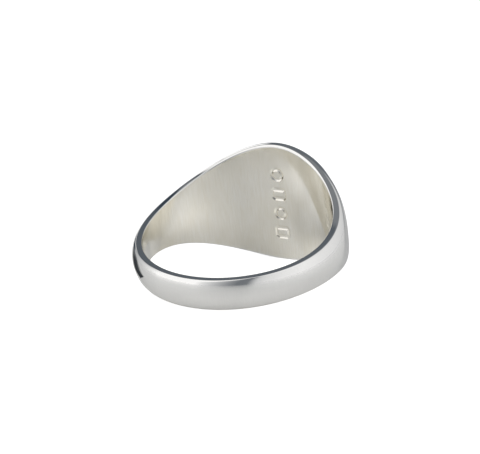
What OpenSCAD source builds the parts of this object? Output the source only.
// Oval signet ring in polished silver: a flat-faced oval head with sloping shoulders and a
// slim domed shank, made separately and hard-soldered together on the shoulders.
// The bore runs along Z, the face looks to -Y and the shank closes round the back at +Y.

/* [Finger size] */
// Inside diameter (17.2 is ISO size 54)
bore_d = 17.2; // [14:0.1:22]

/* [Head] */
// Height of the head along the finger
head_h = 12; // [8:0.1:16]
// Thickness of the head between the bore and the middle of the face
head_t = 1.4; // [0.9:0.05:3]
// Width of the flat oval face, across the finger
face_w = 9; // [6:0.1:12]
// Margin between the outline of the oval and the ends of the head
face_rim = 0.4; // [0.2:0.05:1.5]
// Drop from the plane of the face over one half-width of the oval
shoulder_fall = 2.9; // [1.5:0.1:5]
// Squareness of the head's sides, where 2 is a half-round section
head_square = 11; // [4:0.5:16]

/* [Shank] */
// Width of the shank at its back
shank_w = 2.85; // [2:0.05:6]
// Thickness of the shank where it leaves the shoulders
side_t = 1.2; // [0.9:0.05:2.4]
// Thickness of the shank at its back
back_t = 1; // [0.8:0.05:2.4]
// Squareness of the shank's dome, where 2 is a half-round section
shank_square = 1.6; // [1.4:0.1:8]
// Angle from the middle of the face at which about a third of the taper is left
taper_deg = 57; // [40:1:75]
// How suddenly the taper sets in
taper_power = 1.9; // [1.5:0.1:3]

/* [Edges] */
// Height of the outer edge above the bore, all the way round
edge_t = 0.5; // [0.3:0.05:0.7]
// Rounding of the two edges of the bore
edge_r = 0.15; // [0.05:0.01:0.25]
// Length over which the shoulders run into the shank
shoulder_blend = 0.5; // [0.1:0.05:0.8]

/* [Solder joints] */
// Angle from the middle of the face to each joint
joint_deg = 48; // [40:1:65]
// Thickness of the solder film
solder_t = 0.08; // [0.04:0.01:0.2]

/* [Punch marks] */
// Depth of the blank punch marks inside the head
mark_depth = 0.1; // [0.05:0.01:0.3]
// Height of a mark, across the finger
mark_h = 1.6; // [0.8:0.1:2.5]
// Width of a mark, along the finger
mark_w = 1.5; // [0.8:0.1:2]
// Pitch of the marks along the finger
mark_pitch = 2; // [1.2:0.1:2.6]
// Number of marks
mark_count = 4; // [0:1:5]

/* [Hidden] */
$fn = 96;
bore_r = bore_d / 2;
face_y = bore_r + head_t;
oval_x = face_w / 2;
oval_z = head_h / 2 - face_rim;
head_step = 2.5;        // degrees between sections of the head
shank_step = 5;         // degrees between sections of the shank
arc_points = 12;        // points from the middle of a section to its edge
shoulder_end_deg = 75;  // beyond this the band has no trace of the head's block
square_deg = 45;        // angle at which about a third of the head's squareness is left
reach = 4 * (bore_r + head_h);
film_deg = solder_t / bore_r * 180 / PI;
head_end_deg = joint_deg - film_deg / 2;
shank_end_deg = joint_deg + film_deg / 2;
corner_share = 0.28;    // size of a mark's clipped corners as a share of its width

// Half the ring's width along the finger at an angle from the middle of the face
function half_width(deg) =
    shank_w / 2 + (head_h - shank_w) / 2 * exp(-pow(abs(deg) / taper_deg, taper_power));

// Thickness of the plain band, easing from the sides to the back
function band_t(deg) = side_t + (back_t - side_t) * pow((1 - cos(deg)) / 2, 2);

// Thickness of the head's sloping block, which is level with the face on the oval's outline
function block_t(deg, z) =
    let (x = face_y * tan(deg), q = norm([x / oval_x, z / oval_z]))
    (face_y + shoulder_fall * (1 - q)) / cos(deg) - bore_r;

// The larger of two thicknesses, with a smooth change from one to the other
function soft_max(a, b) =
    let (share = min(1, max(0, 0.5 + 0.5 * (a - b) / shoulder_blend)))
    b + (a - b) * share + shoulder_blend * share * (1 - share);

// Thickness of the whole ring between the bore and the outer surface, before the edges are domed
function body_t(deg, z) =
    abs(deg) < shoulder_end_deg ? soft_max(block_t(deg, z), band_t(deg)) : band_t(deg);

// Squareness of a section, from the head's to the shank's
function squareness(deg) =
    shank_square + (head_square - shank_square) * exp(-pow(deg / square_deg, 2));

// Height of the outer surface above the bore; across runs from -1 to 1 over the section
function skin_t(deg, across) =
    let (dome = sqrt(max(0, 1 - pow(abs(across), squareness(deg)))))
    edge_t + (body_t(deg, half_width(deg) * across) - edge_t) * dome;

// Rounded corner of the bore as [radius, z] steps, from the land to a point just inside the bore
function bore_corner(w) =
    let (turn = [0, 30, 60])
    concat(
        [for (a = turn) [bore_r + edge_r * (1 - sin(a)), w - edge_r * (1 - cos(a))]],
        [[bore_r - edge_r, w - 2 * edge_r]]
    );

// One closed section of the band as [radius, z], from its lower edge over the crown and back inside
function section(deg) =
    let (w = half_width(deg), corner = bore_corner(w))
    concat(
        [for (i = [-arc_points:arc_points])
            let (across = sin(90 * i / arc_points)) [bore_r + skin_t(deg, across), w * across]],
        corner,
        [for (i = [len(corner) - 1:-1:0]) [corner[i][0], -corner[i][1]]]
    );

// A point at [radius, z] and an angle from the middle of the face
function on_ring(p, deg) = [p[0] * sin(deg), -p[0] * cos(deg), p[1]];

// The band between two angles, before its bore is cut and its face is ground flat
module band(from, to, step) {
    steps = ceil((to - from) / step);
    angles = [for (i = [0:steps]) from + (to - from) * i / steps];
    rings = [for (deg = angles) section(deg > 180 ? deg - 360 : deg)];
    n = len(rings[0]);
    skin = [for (i = [0:steps]) for (p = rings[i]) on_ring(p, angles[i])];
    hubs = [for (deg = [angles[0], angles[steps]]) on_ring([bore_r + edge_t / 2, 0], deg)];
    first_hub = len(skin);
    sides = [for (i = [0:steps - 1]) for (j = [0:n - 1])
        let (a = i * n + j, b = i * n + (j + 1) % n)
        each [[a, b, b + n], [a, b + n, a + n]]];
    caps = [for (j = [0:n - 1])
        let (a = j, b = (j + 1) % n, last = steps * n)
        each [[first_hub, b, a], [first_hub + 1, last + a, last + b]]];
    polyhedron(concat(skin, hubs), concat(sides, caps), convexity = 6);
}

module bore() {
    cylinder(h = reach, r = bore_r, center = true);
}

// The waste that is ground off to leave the flat face
module face_waste() {
    translate([-reach / 2, -face_y - reach, -reach / 2]) cube(reach);
}

// Outline of one blank mark: by turns a plate with clipped corners and a plain disc
module mark_outline(i) {
    if (i % 2 == 0) {
        c = corner_share * mark_w;
        x = mark_h / 2;
        z = mark_w / 2;
        polygon([
            [x - c, z], [c - x, z], [-x, z - c], [-x, c - z],
            [c - x, -z], [x - c, -z], [x, c - z], [x, z - c]
        ]);
    } else {
        circle(d = mark_w);
    }
}

// Blank punch marks in a row along the finger, sunk into the bore behind the face
module marks() {
    for (i = [0:1:mark_count - 1])
        translate([0, -bore_r - mark_depth, (i - (mark_count - 1) / 2) * mark_pitch])
            rotate([-90, 0, 0])
                linear_extrude(bore_r)
                    mark_outline(i);
}

module signet_head() {
    color("silver")
        difference() {
            band(-head_end_deg, head_end_deg, head_step);
            bore();
            face_waste();
            marks();
        }
}

module shank() {
    color("silver")
        difference() {
            band(shank_end_deg, 360 - shank_end_deg, shank_step);
            bore();
        }
}

// The solder film on one shoulder, between the given angles
module solder_joint(from, to) {
    color("gainsboro")
        difference() {
            band(from, to, to - from);
            bore();
        }
}

module solder_joint_left() { solder_joint(head_end_deg, shank_end_deg); }
module solder_joint_right() { solder_joint(-shank_end_deg, -head_end_deg); }

signet_head();
shank();
solder_joint_left();
solder_joint_right();
